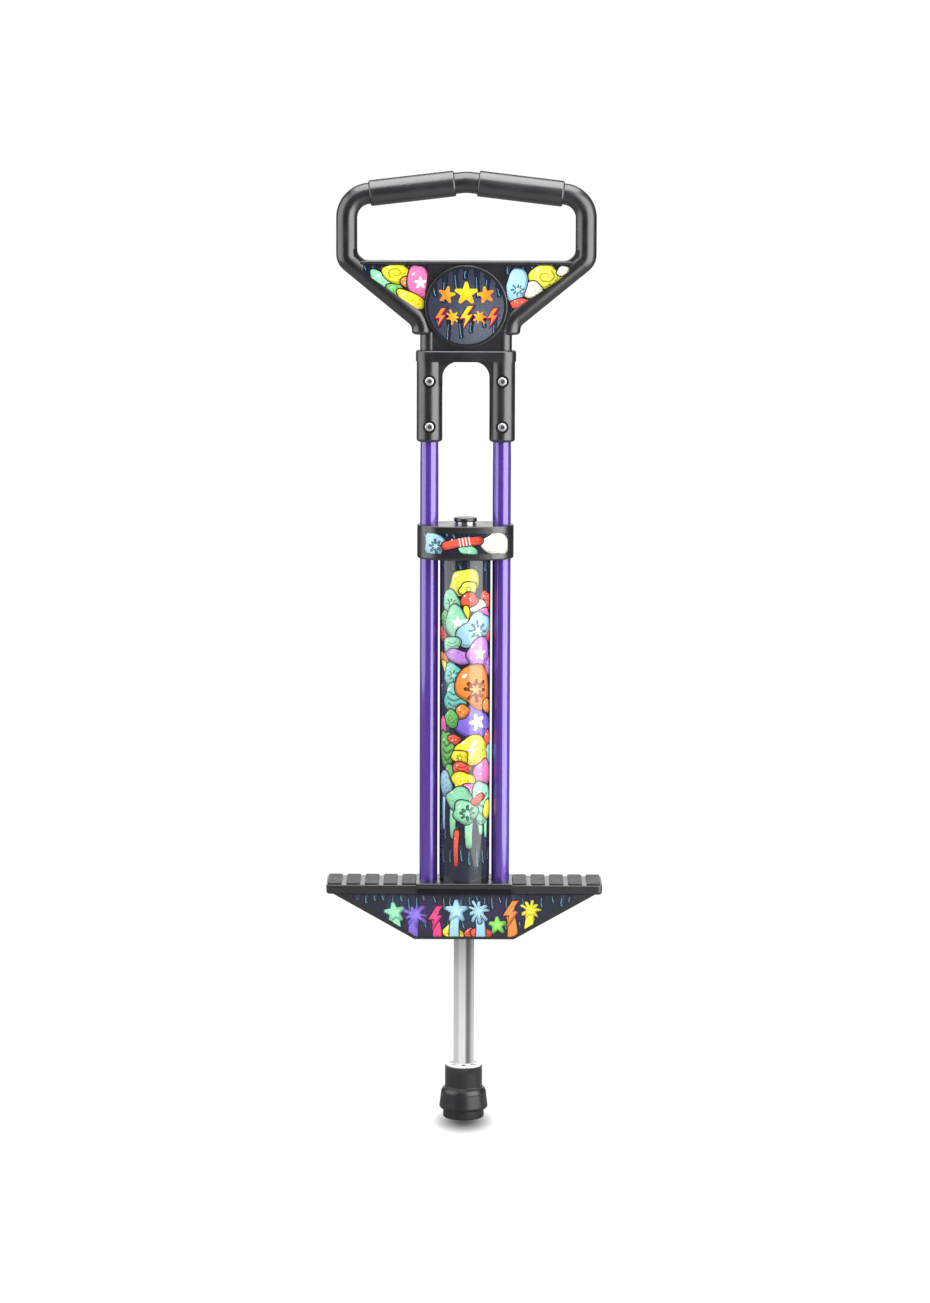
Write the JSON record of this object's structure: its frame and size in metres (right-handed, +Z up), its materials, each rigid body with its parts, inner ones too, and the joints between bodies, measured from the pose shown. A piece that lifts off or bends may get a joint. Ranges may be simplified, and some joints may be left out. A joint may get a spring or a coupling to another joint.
{
  "type": "pogo stick",
  "caption": "Pogo stick with a loop handle, round frame tubes, a spring housing, a ribbed foot platform and a sprung chrome shaft with a rubber tip.",
  "frame": {"origin": "centre of the flat underside of the rubber tip", "axes": "+Z up along the shaft, +X across the stick to the right seen from the front, +Y from the front (badge side) to the back"},
  "size_m": [0.268, 0.056, 0.9254],
  "materials": {
    "black_plastic": "satin moulded plastic",
    "grip_foam": "smooth satin rubber",
    "tread_rubber": "ribbed, matte",
    "purple_paint": "glossy metallic paint",
    "chrome_steel": "polished",
    "zinc_steel": "zinc plated",
    "spring_steel": "oiled steel wire",
    "nylon": "smooth moulded nylon",
    "tip_rubber": "satin rubber",
    "bumper_rubber": "soft rubber",
    "housing_tube": "gloss",
    "printed_label": "gloss printed film"
  },
  "bodies": {
    "frame": {"badge_disc": "black_plastic", "badge_label": "printed_label", "band_label": "printed_label", "bracket_screws": "zinc_steel", "centre_cover": "black_plastic", "fascia_label": "printed_label", "foot_platform": "black_plastic", "frame_tube_left": "purple_paint", "frame_tube_right": "purple_paint", "grip_left": "grip_foam", "grip_right": "grip_foam", "handle_back_shell": "black_plastic", "handle_front_shell": "black_plastic", "handle_label_left": "printed_label", "handle_label_right": "printed_label", "handle_screws": "zinc_steel", "housing_label": "printed_label", "keel_screws": "zinc_steel", "lower_bushing": "nylon", "main_spring": "spring_steel", "platform_keel": "black_plastic", "platform_screws": "zinc_steel", "rebound_bumper": "bumper_rubber", "spring_housing": "housing_tube", "top_bracket": "black_plastic", "top_bushing": "nylon", "tread_pad_left": "tread_rubber", "tread_pad_right": "tread_rubber", "tube_yoke": "black_plastic", "upper_spring_seat": "zinc_steel", "yoke_bolts": "zinc_steel", "yoke_nuts": "zinc_steel"},
    "plunger": {"lower_spring_seat": "zinc_steel", "plunger_shaft": "chrome_steel", "rubber_tip": "tip_rubber", "shaft_end_plug": "black_plastic", "spring_pin": "zinc_steel", "tip_disc": "zinc_steel", "tip_retainer": "nylon"}
  },
  "joints": [
    {"name": "plunger_slide", "type": "slide", "parent": "frame", "child": "plunger", "axis": [0, 0, 1], "range_m": [0, 0.1], "stiffness_N_per_m": 5200, "springref_m": -0.02, "deforming": ["main_spring"]}
  ]
}
